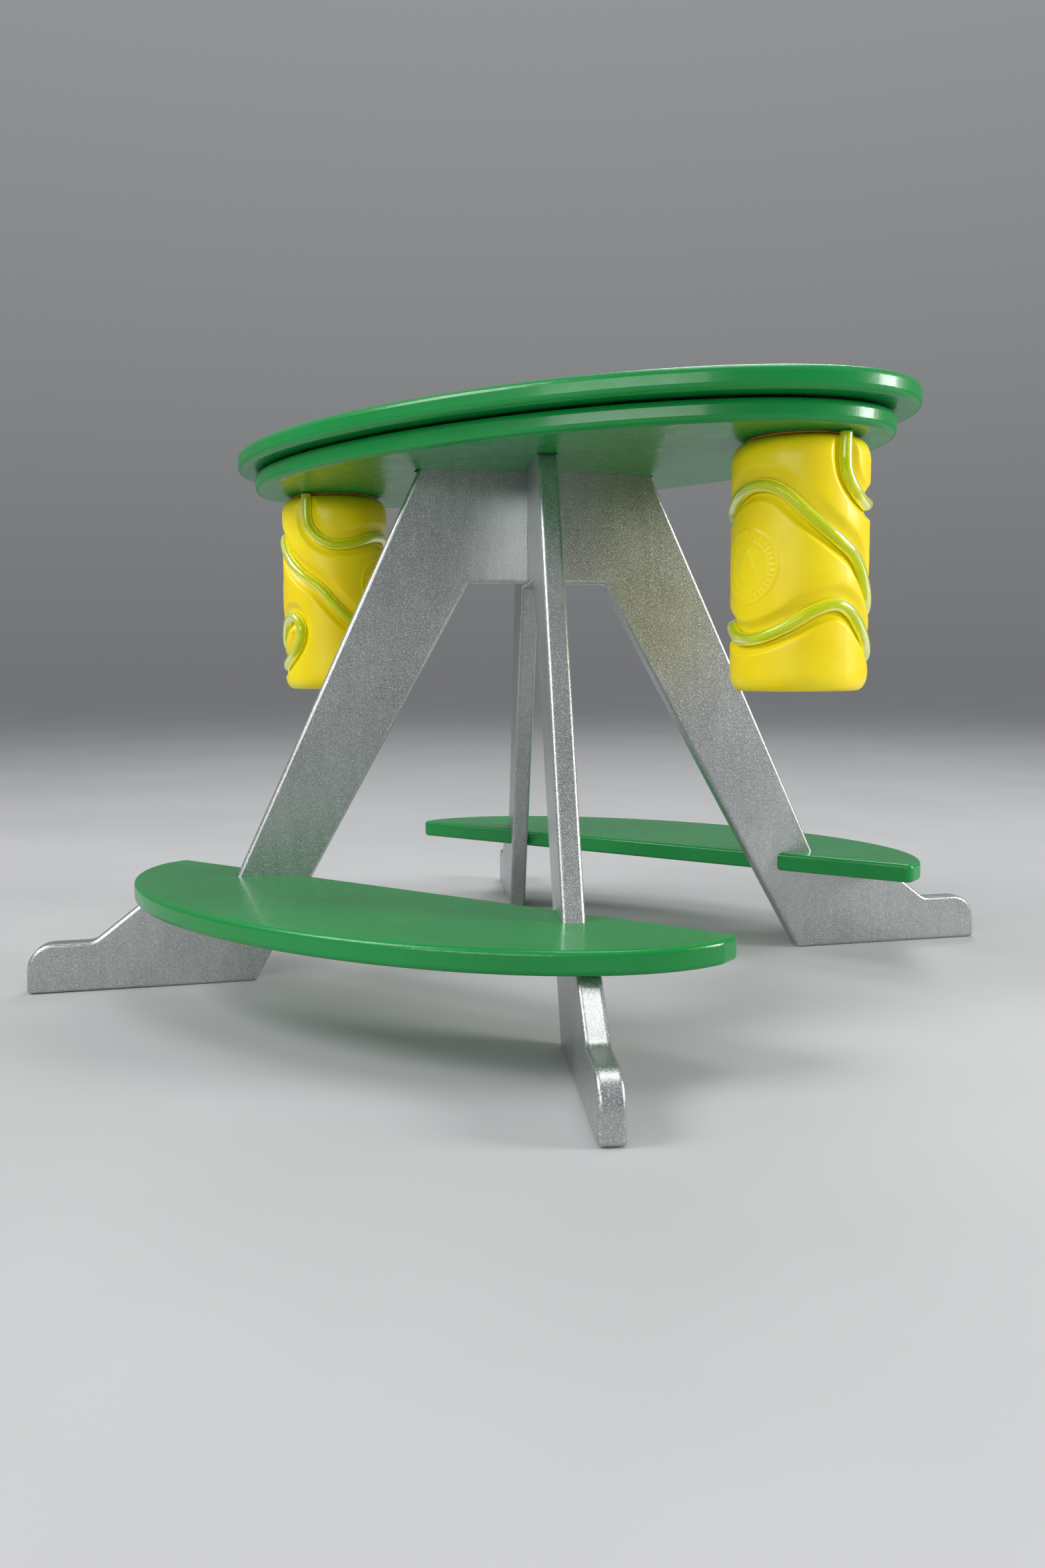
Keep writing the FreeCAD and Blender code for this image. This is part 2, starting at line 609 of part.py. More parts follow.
def main():
    """Build every piece and write it."""
    os.makedirs("parts", exist_ok=True)
    half_z = (WEB_Z + PANEL_TOP) / 2.0
    screws = board_screws()
    front_dowels = dowels(-1)
    rear_dowels = dowels(1)
    room = BOARD + 2 * JOINT_FIT
    all_dowels = [front_dowels, rear_dowels]
    panel_a = leg_panel(DIRECTION_A).cut(slab(DIRECTION_B, 8 * BOARD, room, 0, half_z))
    panel_b = leg_panel(DIRECTION_B).cut(slab(DIRECTION_A, 8 * BOARD, room, half_z, LOWER_TOP))
    for cutter in all_dowels + [screws]:
        panel_a = panel_a.cut(cutter)
        panel_b = panel_b.cut(cutter)
    write("leg_panel_a", panel_a)
    write("leg_panel_b", panel_b)
    write("bench_front", bench(-1).cut(front_dowels))
    write("bench_rear", bench(1).cut(rear_dowels))
    write("bench_dowels_front", front_dowels)
    write("bench_dowels_rear", rear_dowels)
    write("under_board", under_board().cut(screws).cut(lower_screws()))
    write("under_board_screws", screws)
    write("top_board", top_board().cut(upper_screws()))
    write("bearing_lower_plate", lower_plate())
    write("bearing_upper_plate", upper_plate())
    write("bearing_balls", balls(ball_radius()))
    write("bearing_cage", cage())
    write("lower_plate_screws", lower_screws())
    write("upper_plate_screws", upper_screws())
    for name, side, end in (("left", -1, STRAW_END_LEFT), ("right", 1, STRAW_END_RIGHT)):
        points = straw_points(end)
        print(name, "straw", round(tube_path(points).Length, 1), "long")
        write("bottle_" + name, place(bottle(points), side))
        write("straw_" + name, place(tube(points, STRAW_R, STRAW_R - STRAW_WALL), side))
        write("cap_" + name, place(cap(), side))
        write("cap_liner_" + name, place(cap_liner(), side))


main()
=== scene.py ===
import math
import bpy
import numpy as np
from mathutils import Matrix, Vector


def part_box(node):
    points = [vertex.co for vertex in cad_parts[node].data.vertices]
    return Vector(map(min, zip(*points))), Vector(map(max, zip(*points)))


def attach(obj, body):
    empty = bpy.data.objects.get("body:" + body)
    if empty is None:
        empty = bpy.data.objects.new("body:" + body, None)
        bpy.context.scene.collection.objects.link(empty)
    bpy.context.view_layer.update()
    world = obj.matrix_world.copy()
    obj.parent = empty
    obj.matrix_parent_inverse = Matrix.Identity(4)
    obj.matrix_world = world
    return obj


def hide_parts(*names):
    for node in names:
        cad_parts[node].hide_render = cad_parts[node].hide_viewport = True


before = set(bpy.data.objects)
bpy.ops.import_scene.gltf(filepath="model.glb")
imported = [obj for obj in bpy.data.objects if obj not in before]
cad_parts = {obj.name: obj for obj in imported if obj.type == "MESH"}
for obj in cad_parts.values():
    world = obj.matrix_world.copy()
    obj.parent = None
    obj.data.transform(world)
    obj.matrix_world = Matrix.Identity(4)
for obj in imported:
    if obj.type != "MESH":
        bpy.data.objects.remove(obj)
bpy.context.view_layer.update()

# Looks for the oval stand with a turning top.  Metres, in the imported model's own frame.

# ---- camera ----
CAMERA_PLACE = (0.4594, -0.6394, 0.1928)
CAMERA_YAW = -36.41            # degrees from +Y towards +X
CAMERA_PITCH = -5.47
CAMERA_ROLL = -0.45
CAMERA_LENS = 27.93            # mm on a sensor whose long side is 36 mm
SENSOR = 36.0


def aim_camera():
    """Camera at the viewing angle of the reference picture."""
    yaw, pitch, roll = (math.radians(a) for a in (CAMERA_YAW, CAMERA_PITCH, CAMERA_ROLL))
    forward = Vector((math.sin(yaw) * math.cos(pitch), math.cos(yaw) * math.cos(pitch), math.sin(pitch)))
    level = Vector((math.cos(yaw), -math.sin(yaw), 0))
    upright = level.cross(forward)
    right = level * math.cos(roll) + upright * math.sin(roll)
    up = upright * math.cos(roll) - level * math.sin(roll)
    data = bpy.data.cameras.new("camera")
    data.lens = CAMERA_LENS
    data.sensor_width = SENSOR
    data.clip_start = 0.01
    data.clip_end = 50
    camera = bpy.data.objects.new("camera", data)
    bpy.context.scene.collection.objects.link(camera)
    turn = Matrix((right, up, -forward)).transposed().to_4x4()
    camera.matrix_world = Matrix.Translation(Vector(CAMERA_PLACE)) @ turn
    bpy.context.scene.camera = camera


aim_camera()

# ---- sizes, in metres: the bottle's and straw's are the CAD's own ----
MM = 0.001
BOTTLE_R = 37.4 * MM
SHOULDER_R = 30.4 * MM
SHOULDER_H = 11.5 * MM
BASE_CURVE_R = 6.0 * MM
BASE_CURVE_H = 10.0 * MM
PUSH_UP_R = 26.0 * MM
PUSH_UP_H = 2.5 * MM
NECK_R = 27.2 * MM
NECK_ROOT_R = 26.35 * MM       # between the thread's turns; the thread is in the looks only
NECK_H = 9.95 * MM
WALL = 1.5 * MM
STRAW_R = 3.5 * MM
STRAW_BORE = 2.6 * MM
STRAW_LINE_R = 35.4 * MM       # radius of the straw's centre line
CHANNEL_R = 3.62 * MM          # the straw's seat in the bottle
CHANNEL_FLOOR_R = 34.0 * MM    # bottom of the wide channel beside the straw, which only the looks have
CHANNEL_FLAT = 4.0 * MM        # where the bottom starts to rise
REACH_BELOW = 8.6 * MM         # the channel's crisp lower rim
REACH_ABOVE = 10.2 * MM        # its soft upper rim
LEFT_TURN = math.radians(-78.0)
RIGHT_TURN = math.radians(-25.5)

# The straw's way: degrees round the bottle, and depth below the shoulder as a share of its height.
STRAW_LAPS = [
    (0, 0.115), (5, 0.18), (18, 0.235), (34, 0.258), (56, 0.243), (82, 0.212), (112, 0.212),
    (150, 0.255), (190, 0.295), (229, 0.275), (256, 0.218), (280, 0.19), (303, 0.215),
    (330, 0.325), (352, 0.405), (374, 0.475), (392, 0.57), (410, 0.65), (435, 0.70),
    (480, 0.715), (540, 0.71), (590, 0.735),
]
STRAW_END = {
    "left": [
        (622, 0.772), (646, 0.775), (662, 0.745), (670, 0.69), (682, 0.637), (696, 0.622), (706, 0.655),
        (709, 0.71), (704, 0.768), (693, 0.82), (678, 0.857), (660, 0.878),
    ],
    "right": [
        (618, 0.785), (645, 0.785), (670, 0.742), (692, 0.685), (711, 0.66), (727, 0.685), (745, 0.755),
        (764, 0.83), (785, 0.875),
    ],
}
BADGES = ((272.0, 0.505), (92.0, 0.455))   # the same for each badge's middle

# ---- finer detail of the looks ----
RIM_SOFT_BELOW = 0.28 * MM     # softness of the channel's rims
RIM_SOFT_ABOVE = 0.78 * MM
FADE_FROM = 12 * MM            # the channel has no effect beyond this and the next
FADE_OVER = 4 * MM
SHOULDER_STOP = 82             # degrees of the shoulder's quarter that are drawn
SEAM_RISE = 0.10 * MM          # mould seam down both sides
SEAM_WIDTH = 0.5 * MM
# The badge's own sizes are in millimetres: each ring's radius, half width and softness first.
BADGE_RINGS = ((19.4, 0.45, 0.6), (13.6, 0.3, 0.5))
BADGE_TICKS = 36
TICK_MIDDLE = 16.5             # radius of the ticks' middle
TICK_REACH = 1.2               # half the length of a tick
TICK_HALF = 0.35               # half its width
DROP_FOOT = 3.0                # the drop's round end below the badge's middle
DROP_H = 11.5
DROP_R = 5.4
BADGE_RISE = 0.6 * MM
THREAD_PITCH = 3.4 * MM
THREAD_END = 1.2 * MM          # bare neck above and below the thread
THREAD_GAP = 0.06 * MM         # thread's crest to the neck's widest
WAY_STEPS = 1500               # points along the straw's way for its channel
STRAW_STEPS = 620              # rings along the straw itself
SIDE_SOFT = 7 * MM             # height over which the channel's lower side becomes its upper side
INLET_BEND = 4.2 * MM          # the straw's last bend, and its run in through the wall
INLET_RUN = 3.3 * MM
STRAW_SIDES = 24
NECK_FIT = 0.08 * MM           # neck in its cap
CAP_WALL = 2.0 * MM
CAP_TOP_T = 1.6 * MM
CAP_DISH = 0.5 * MM            # the cap's middle below its rim
CAP_HUB_R = 4.0 * MM
CAP_DISH_R = 16.0 * MM
CAP_RIBS = 48
CAP_RIB_DEPTH = 0.35 * MM
CAP_SIDES = 288


# ---- shader helpers ----
class Shader:
    """A material's node tree, with short calls for what the surfaces here need."""

    def __init__(self, name):
        self.material = bpy.data.materials.new(name)
        self.material.use_nodes = True
        self.nodes = self.material.node_tree.nodes
        self.links = self.material.node_tree.links
        self.surface = self.nodes["Principled BSDF"]
        self.place = self.nodes.new("ShaderNodeTexCoord").outputs["Object"]

    def set(self, **values):
        """Constants on the surface's own sockets."""
        for key, value in values.items():
            self.surface.inputs[key.replace("_", " ")].default_value = value

    def stretched(self, scale):
        """Object coordinates scaled along each axis."""
        node = self.nodes.new("ShaderNodeMapping")
        node.inputs["Scale"].default_value = scale
        self.links.new(self.place, node.inputs["Vector"])
        return node.outputs["Vector"]

    def noise(self, scale, detail=3.0, roughness=0.55, stretch=(1, 1, 1)):
        """Noise value, about scale features per metre."""
        node = self.nodes.new("ShaderNodeTexNoise")
        node.inputs["Scale"].default_value = scale
        node.inputs["Detail"].default_value = detail
        node.inputs["Roughness"].default_value = roughness
        self.links.new(self.stretched(stretch), node.inputs["Vector"])
        return node.outputs["Fac"]

    def between(self, value, low, high, to_low=0.0, to_high=1.0):
        """Value moved from one range to another, and held there."""
        node = self.nodes.new("ShaderNodeMapRange")
        node.interpolation_type = "SMOOTHSTEP"
        for key, number in (("From Min", low), ("From Max", high), ("To Min", to_low), ("To Max", to_high)):
            node.inputs[key].default_value = number
        self.links.new(value, node.inputs["Value"])
        return node.outputs["Result"]

    def math(self, operation, a, b):
        """Arithmetic on two values or numbers."""
        node = self.nodes.new("ShaderNodeMath")
        node.operation = operation
        for socket, item in zip(node.inputs, (a, b)):
            if isinstance(item, (int, float)):
                socket.default_value = item
            else:
                self.links.new(item, socket)
        return node.outputs[0]

    def mix(self, factor, a, b):
        """Colour between a and b."""
        node = self.nodes.new("ShaderNodeMix")
        node.data_type = "RGBA"
        self.links.new(factor, node.inputs["Factor"])
        for socket, item in ((node.inputs[6], a), (node.inputs[7], b)):
            if isinstance(item, tuple):
                socket.default_value = (*item, 1.0)
            else:
                self.links.new(item, socket)
        return node.outputs[2]

    def colour(self, value):
        """Base colour from a socket."""
        self.links.new(value, self.surface.inputs["Base Color"])

    def rough(self, value):
        """Roughness from a socket."""
        self.links.new(value, self.surface.inputs["Roughness"])

    def bump(self, height, depth, strength=1.0):
        """Relief from a value, depth in metres; calls stack."""
        node = self.nodes.new("ShaderNodeBump")
        node.inputs["Distance"].default_value = depth
        node.inputs["Strength"].default_value = strength
        self.links.new(height, node.inputs["Height"])
        before = self.surface.inputs["Normal"].links
        if before:
            self.links.new(before[0].from_socket, node.inputs["Normal"])
        self.links.new(node.outputs["Normal"], self.surface.inputs["Normal"])


def green_paint(name, grain=(1, 1, 1)):
    """Rolled semi-gloss green paint with faint board grain and soft blotches."""
    s = Shader(name)
    s.set(Coat_Weight=0.2, Coat_Roughness=0.1, IOR=1.40)
    blotch = s.between(s.noise(16, 4), 0.3, 0.7)
    s.colour(s.mix(blotch, (0.003, 0.235, 0.042), (0.006, 0.265, 0.053)))
    s.rough(s.between(s.noise(60, 3), 0.25, 0.75, 0.25, 0.32))
    s.bump(s.noise(900, 2), 0.00006, 0.55)
    s.bump(s.noise(55, 5, 0.6, grain), 0.00012, 0.6)
    return s.material


def silver_paint(name):
    """Silver metallic paint rolled over board: a fine flake, soft clouds, and faint streaks up the legs."""
    s = Shader(name)
    s.set(Metallic=0.9, IOR=1.45, Coat_Weight=0.15, Coat_Roughness=0.25)
    streak = s.noise(30, 5, 0.6, (6, 6, 0.9))
    cloud = s.between(s.noise(9, 4), 0.3, 0.72)
    base = s.mix(cloud, (0.40, 0.42, 0.415), (0.56, 0.58, 0.575))
    base = s.mix(s.between(streak, 0.4, 0.68, 0.0, 0.22), base, (0.30, 0.32, 0.32))
    flake = s.between(s.noise(1500, 2), 0.54, 0.66)
    shade = s.between(s.noise(1100, 2), 0.56, 0.70)
    base = s.mix(s.math("MULTIPLY", shade, 0.5), base, (0.20, 0.215, 0.215))
    s.colour(s.mix(s.math("MULTIPLY", flake, 0.6), base, (0.95, 0.96, 0.96)))
    s.rough(s.between(s.noise(1500, 2), 0.35, 0.65, 0.28, 0.44))
    s.bump(streak, 0.00012, 0.45)
    s.bump(s.noise(1300, 2), 0.0001, 0.8)
    return s.material


def bottle_plastic(name):
    """Satin yellow blow-moulded plastic, faintly mottled."""
    s = Shader(name)
    s.set(Subsurface_Weight=0.15, Subsurface_Scale=0.004, IOR=1.42, Coat_Weight=0.08, Coat_Roughness=0.2)
    s.surface.inputs["Subsurface Radius"].default_value = (1.0, 0.7, 0.12)
    s.colour(s.mix(s.between(s.noise(22, 4), 0.3, 0.7), (0.95, 0.71, 0.002), (0.985, 0.79, 0.006)))
    s.rough(s.between(s.noise(120, 4), 0.3, 0.7, 0.33, 0.45))
    s.bump(s.noise(1300, 3), 0.00003, 0.5)
    s.bump(s.noise(38, 3), 0.00025, 0.5)
    return s.material


def straw_plastic(name):
    """Glossy translucent lime tube."""
    s = Shader(name)
    s.set(Transmission_Weight=0.45, IOR=1.38, Coat_Weight=0.25, Coat_Roughness=0.05)
    s.colour(s.mix(s.between(s.noise(30, 2), 0.3, 0.7), (0.80, 0.91, 0.006), (0.87, 0.94, 0.016)))
    s.rough(s.between(s.noise(180, 3), 0.3, 0.7, 0.08, 0.16))
    s.bump(s.noise(90, 3, 0.5, (1, 1, 2.5)), 0.00012, 0.5)
    return s.material


def moulded(name, dark, light, rough, scale=60.0):
    """Plain moulded plastic in two close tones."""
    s = Shader(name)
    s.colour(s.mix(s.between(s.noise(scale, 3), 0.3, 0.7), dark, light))
    s.rough(s.between(s.noise(scale * 4, 3), 0.3, 0.7, rough - 0.06, rough + 0.06))
    s.bump(s.noise(scale * 30, 2), 0.00003, 0.5)
    return s.material


def plated_steel(name, dark, light):
    """Zinc-plated steel with fine scratches."""
    s = Shader(name)
    s.set(Metallic=1.0)
    s.colour(s.mix(s.between(s.noise(45, 5), 0.3, 0.7), dark, light))
    s.rough(s.between(s.noise(90, 5, 0.6, (1, 12, 1)), 0.3, 0.7, 0.22, 0.40))
    s.bump(s.noise(200, 4, 0.6, (1, 10, 1)), 0.00003, 0.5)
    return s.material


def bare_beech(name):
    """Unpainted beech with short flecks along the dowel."""
    s = Shader(name)
    fleck = s.between(s.noise(260, 5, 0.6, (1, 1, 0.12)), 0.35, 0.65)
    s.colour(s.mix(fleck, (0.55, 0.36, 0.19), (0.72, 0.52, 0.31)))
    s.rough(s.between(s.noise(300, 3), 0.3, 0.7, 0.5, 0.7))
    s.bump(s.noise(400, 4, 0.6, (1, 1, 0.1)), 0.0001, 0.6)
    return s.material


# ---- mesh helpers ----
def mesh_piece(name, points, faces, body, material, node):
    """Smooth mesh object that rides on a body and stands for a CAD node."""
    mesh = bpy.data.meshes.new(name)
    mesh.from_pydata([tuple(p) for p in points], [], faces)
    mesh.update()
    mesh.shade_smooth()
    piece = bpy.data.objects.new(name, mesh)
    bpy.context.scene.collection.objects.link(piece)
    piece.data.materials.append(material)
    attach(piece, body)
    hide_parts(node)


def ring_faces(rings, sides, closed=False):
    """Quads between successive rings of vertices; closed also joins the last ring to the first."""
    faces = []
    for r in range(rings if closed else rings - 1):
        a = r * sides
        b = (r + 1) % rings * sides
        for i in range(sides):
            j = (i + 1) % sides
            faces.append((a + i, a + j, b + j, b + i))
    return faces


def smooth_step(value):
    """0 to 1 with soft ends."""
    value = np.clip(value, 0.0, 1.0)
    return value * value * (3.0 - 2.0 * value)


def smooth_line(knots, count):
    """Smooth curve through knots, evenly divided: a Catmull-Rom spline."""
    knots = np.asarray(knots, float)
    padded = np.vstack([2 * knots[0] - knots[1], knots, 2 * knots[-1] - knots[-2]])
    fine = []
    for i in range(1, len(padded) - 2):
        p0, p1, p2, p3 = padded[i - 1:i + 3]
        for t in np.linspace(0, 1, 40, endpoint=False):
            fine.append(0.5 * (2 * p1 + (p2 - p0) * t + (2 * p0 - 5 * p1 + 4 * p2 - p3) * t * t
                               + (3 * p1 - p0 - 3 * p2 + p3) * t ** 3))
    fine.append(knots[-1])
    fine = np.array(fine)
    run = np.concatenate([[0], np.cumsum(np.linalg.norm(np.diff(fine, axis=0), axis=1))])
    even = np.linspace(0, run[-1], count)
    return np.stack([np.interp(even, run, fine[:, k]) for k in range(fine.shape[1])], -1)


def quarter(centre, radii, start, end, count):
    """Points of an elliptic arc, angles in degrees."""
    angles = np.radians(np.linspace(start, end, count))
    return [(centre[0] + radii[0] * math.cos(a), centre[1] + radii[1] * math.sin(a)) for a in angles]


def run_of(start, end, step):
    """Evenly spaced points from start to end, without the end."""
    length = math.dist(start, end)
    count = max(1, int(round(length / step)))
    return [(start[0] + (end[0] - start[0]) * i / count, start[1] + (end[1] - start[1]) * i / count)
            for i in range(count)]


# ---- bottles ----
class Bottle:
    """Sizes and shape of one bottle, from its CAD node's box."""

    SIDES = 320
    ROW = 0.75 * MM

    def __init__(self, side, turn, centre_x):
        self.side = side
        self.turn = turn
        low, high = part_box("bottle_" + side)
        self.x = centre_x
        self.bottom = low.z
        self.lip = high.z
        self.top = high.z - NECK_H
        self.height = self.top - self.bottom
        self.straw_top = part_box("straw_" + side)[1].z

    def way(self, count):
        """The straw's centre line on the unrolled bottle: (arc length, height)."""
        start = [(0.0, self.straw_top)]
        way = [(math.radians(turn) * BOTTLE_R, self.top - share * self.height)
               for turn, share in STRAW_LAPS + STRAW_END[self.side]]
        return smooth_line(start + way, count)

    def outer_profile(self):
        """(radius, height) from the base's middle up to the lip."""
        base = self.bottom
        dome = [(0.0, base + PUSH_UP_H)]
        dome += [(PUSH_UP_R * t, base + PUSH_UP_H * (1 - t * t)) for t in np.linspace(0.12, 0.97, 12)]
        low = run_of((PUSH_UP_R, base), (BOTTLE_R - BASE_CURVE_R, base), 1.2 * MM)
        curve_middle = (BOTTLE_R - BASE_CURVE_R, base + BASE_CURVE_H)
        corner = quarter(curve_middle, (BASE_CURVE_R, BASE_CURVE_H), -90, 0, 13)[:-1]
        wall = run_of((BOTTLE_R, base + BASE_CURVE_H), (BOTTLE_R, self.top - SHOULDER_H), self.ROW)
        shoulder = quarter((SHOULDER_R, self.top - SHOULDER_H), (BOTTLE_R - SHOULDER_R, SHOULDER_H),
                           0, SHOULDER_STOP, 16)
        ledge = [(SHOULDER_R - 0.6 * MM, self.top), (NECK_ROOT_R + 0.5 * MM, self.top)]
        neck = run_of((NECK_ROOT_R, self.top + 0.4 * MM), (NECK_ROOT_R, self.lip - 0.5 * MM), 0.35 * MM)
        lip = [(NECK_ROOT_R, self.lip - 0.4 * MM), (NECK_ROOT_R - 0.4 * MM, self.lip)]
        return dome + low + corner + wall + shoulder + ledge + neck + lip

    def inner_profile(self):
        """(radius, height) from the lip down inside to the base's middle."""
        radius = STRAW_LINE_R - STRAW_R - 2.2 * WALL
        base = self.bottom + WALL
        throat = NECK_ROOT_R - WALL
        inside = [(throat + 0.3 * MM, self.lip), (throat, self.lip - 0.5 * MM)]
        inside += run_of((throat, self.lip - 1.0 * MM), (throat, self.top - 2 * WALL), 3 * MM)
        inside += quarter((throat, self.top - SHOULDER_H), (radius - throat, SHOULDER_H - 3 * WALL), 80, 0, 8)
        inside += run_of((radius, self.top - 1.2 * SHOULDER_H), (radius, base + BASE_CURVE_H), 8 * MM)
        inside += quarter((radius - BASE_CURVE_R, base + BASE_CURVE_H),
                          (BASE_CURVE_R, BASE_CURVE_H - PUSH_UP_H), 0, -80, 8)
        inside += [(PUSH_UP_R * 0.6, base + PUSH_UP_H), (0.0, base + PUSH_UP_H * 1.3)]
        return inside

    def nearest_way(self, angles, heights):
        """Distance from each point of the unrolled wall to the straw's line, and 0 to 1 for above it."""
        way = self.way(WAY_STEPS)
        turn = 2 * math.pi * BOTTLE_R
        around = angles * BOTTLE_R
        limit = FADE_FROM + FADE_OVER + 1 * MM
        nearest = np.full((len(heights), len(angles)), 1.0)
        above = np.zeros_like(nearest)
        for lap in (-1, 0, 1, 2, 3):
            for block in np.array_split(way, 40):
                s = block[:, 0] - lap * turn
                close = (heights > block[:, 1].min() - limit) & (heights < block[:, 1].max() + limit)
                if not close.any() or s.max() < -limit or s.min() > turn + limit:
                    continue
                rows = np.where(close)[0]
                up = heights[rows][:, None, None] - block[:, 1]
                gap = np.hypot(around[None, :, None] - s, up)
                best = gap.argmin(2)
                found = np.take_along_axis(gap, best[..., None], 2)[..., 0]
                rise = np.take_along_axis(np.broadcast_to(up, gap.shape), best[..., None], 2)[..., 0]
                better = found < nearest[rows]
                nearest[rows] = np.where(better, found, nearest[rows])
                above[rows] = np.where(better, smooth_step(0.5 + rise / SIDE_SOFT), above[rows])
        return nearest, above

    def carved(self, radius, angles, heights):
        """The wall's radius with the straw's channel in it: a round seat, a floor and two rims."""
        nearest, above = self.nearest_way(angles, heights)
        reach = REACH_BELOW + (REACH_ABOVE - REACH_BELOW) * above
        soft = RIM_SOFT_BELOW + (RIM_SOFT_ABOVE - RIM_SOFT_BELOW) * above
        along = np.clip((nearest - CHANNEL_FLAT) / (reach - CHANNEL_FLAT), 0, None)
        curved = 1 - np.cos(0.5 * math.pi * np.minimum(along, 1))
        rise = np.where(along < 1, curved, 1 + 0.5 * math.pi * (along - 1))
        cut = CHANNEL_FLOOR_R + (BOTTLE_R - CHANNEL_FLOOR_R) * rise
        seat = STRAW_LINE_R - np.sqrt(np.clip(CHANNEL_R ** 2 - nearest ** 2, 0, None))
        cut = np.minimum(cut, np.where(nearest < CHANNEL_R, seat, 1.0))
        blend = 0.5 * (radius + cut - np.sqrt((radius - cut) ** 2 + soft ** 2))
        fade = 1 - smooth_step((nearest - FADE_FROM) / FADE_OVER)
        return radius - (radius - blend) * fade

    def badge(self, angles, heights, middle, share):
        """Raised badge: two rings, short ticks between them and a water drop in the middle."""
        turned = (angles - math.radians(middle) + math.pi) % (2 * math.pi) - math.pi
        across = turned[None, :] * BOTTLE_R / MM
        up = (heights - (self.top - share * self.height))[:, None] / MM
        away = np.hypot(across, up)
        ridge = np.zeros_like(away)
        for radius, half, soft in BADGE_RINGS:
            ridge = np.maximum(ridge, 1 - smooth_step((np.abs(away - radius) - half) / soft))
        step = 2 * math.pi / BADGE_TICKS
        spoke = np.abs((np.arctan2(up, across) / step + 0.5) % 1 - 0.5) * away * step
        band = 1 - smooth_step((np.abs(away - TICK_MIDDLE) - TICK_REACH) / 0.4)
        ticks = (1 - smooth_step((spoke - TICK_HALF) / 0.5)) * band
        drop = np.full(away.shape, 50.0)
        for t in np.linspace(0, 1, 40):
            width = DROP_R * (1 - t) ** 0.8
            drop = np.minimum(drop, np.hypot(across, up + DROP_FOOT - DROP_H * t) - width)
        edge = 1 - smooth_step((np.abs(drop) - 0.35) / 0.6)
        body = 0.35 * (1 - smooth_step(drop / 0.8))
        return np.maximum.reduce([ridge, 0.8 * ticks, edge, body]) * BADGE_RISE

    def thread(self, angles, heights):
        """Ridge of the neck's thread."""
        phase = (heights[:, None] - self.top) / THREAD_PITCH - angles[None, :] / (2 * math.pi)
        ridge = 1 - smooth_step((np.abs(phase % 1 - 0.5) - 0.1) / 0.2)
        start = smooth_step((heights - self.top - THREAD_END) / MM)
        stop = smooth_step((self.lip - THREAD_END - heights) / MM)
        return ridge * (start * stop)[:, None] * (NECK_R - NECK_ROOT_R - THREAD_GAP)

    def build(self, material):
        """Bottle mesh: outside with channel, badge and thread, then the inside."""
        outer = np.array(self.outer_profile())
        angles = np.linspace(0, 2 * math.pi, self.SIDES, endpoint=False)
        radius = np.repeat(outer[:, :1], self.SIDES, axis=1)
        heights = outer[:, 1]
        body = (outer[:, 0] > SHOULDER_R - 1 * MM) & (heights < self.top)
        radius[body] = self.carved(radius[body], angles, heights[body])
        flat = np.abs(outer[:, 0] - BOTTLE_R) < 0.01 * MM
        for middle, share in BADGES:
            radius[flat] += self.badge(angles, heights[flat], middle, share)
        seam = np.abs((angles / math.pi + 0.5) % 1 - 0.5) * math.pi * BOTTLE_R
        radius[body] += (SEAM_RISE * (1 - smooth_step(seam / SEAM_WIDTH)))[None, :]
        radius[flat] = np.minimum(radius[flat], BOTTLE_R + 0.5 * MM)
        neck = heights > self.top
        upright = outer[neck, 0] > NECK_ROOT_R - 0.01 * MM
        radius[neck] += self.thread(angles, heights[neck]) * upright[:, None]
        inner = np.array(self.inner_profile())
        radius = np.vstack([radius[1:], np.repeat(inner[:-1, :1], self.SIDES, axis=1)])
        heights = np.concatenate([heights[1:], inner[:-1, 1]])
        spin = angles + self.turn
        x = self.x + radius * np.cos(spin)
        y = radius * np.sin(spin)
        z = np.repeat(heights[:, None], self.SIDES, axis=1)
        points = np.stack([x, y, z], -1).reshape(-1, 3)
        count = len(points)
        points = np.vstack([points, [[self.x, 0, outer[0, 1]], [self.x, 0, inner[-1, 1]]]])
        faces = ring_faces(len(heights), self.SIDES)
        last = (len(heights) - 1) * self.SIDES
        for i in range(self.SIDES):
            j = (i + 1) % self.SIDES
            faces.append((count, j, i))
            faces.append((count + 1, last + i, last + j))
        mesh_piece("bottle_shell_" + self.side, points, faces, "bottle_" + self.side, material,
                   "bottle_" + self.side)

    def straw_line(self):
        """Centre line of the straw in space, with its end turned in through the wall."""
        way = self.way(STRAW_STEPS)
        angle = way[:, 0] / BOTTLE_R + self.turn
        line = np.stack([self.x + STRAW_LINE_R * np.cos(angle), STRAW_LINE_R * np.sin(angle), way[:, 1]], -1)
        ahead = line[-1] - line[-2]
        ahead /= np.linalg.norm(ahead)
        inward = np.array([self.x, 0, line[-1][2]]) - line[-1]
        inward /= np.linalg.norm(inward)
        turn = [line[-1] + ahead * INLET_BEND * math.sin(a) + inward * INLET_BEND * (1 - math.cos(a))
                for a in np.linspace(0, math.pi / 2, 12)[1:]]
        return np.vstack([line, turn, [turn[-1] + inward * INLET_RUN]])

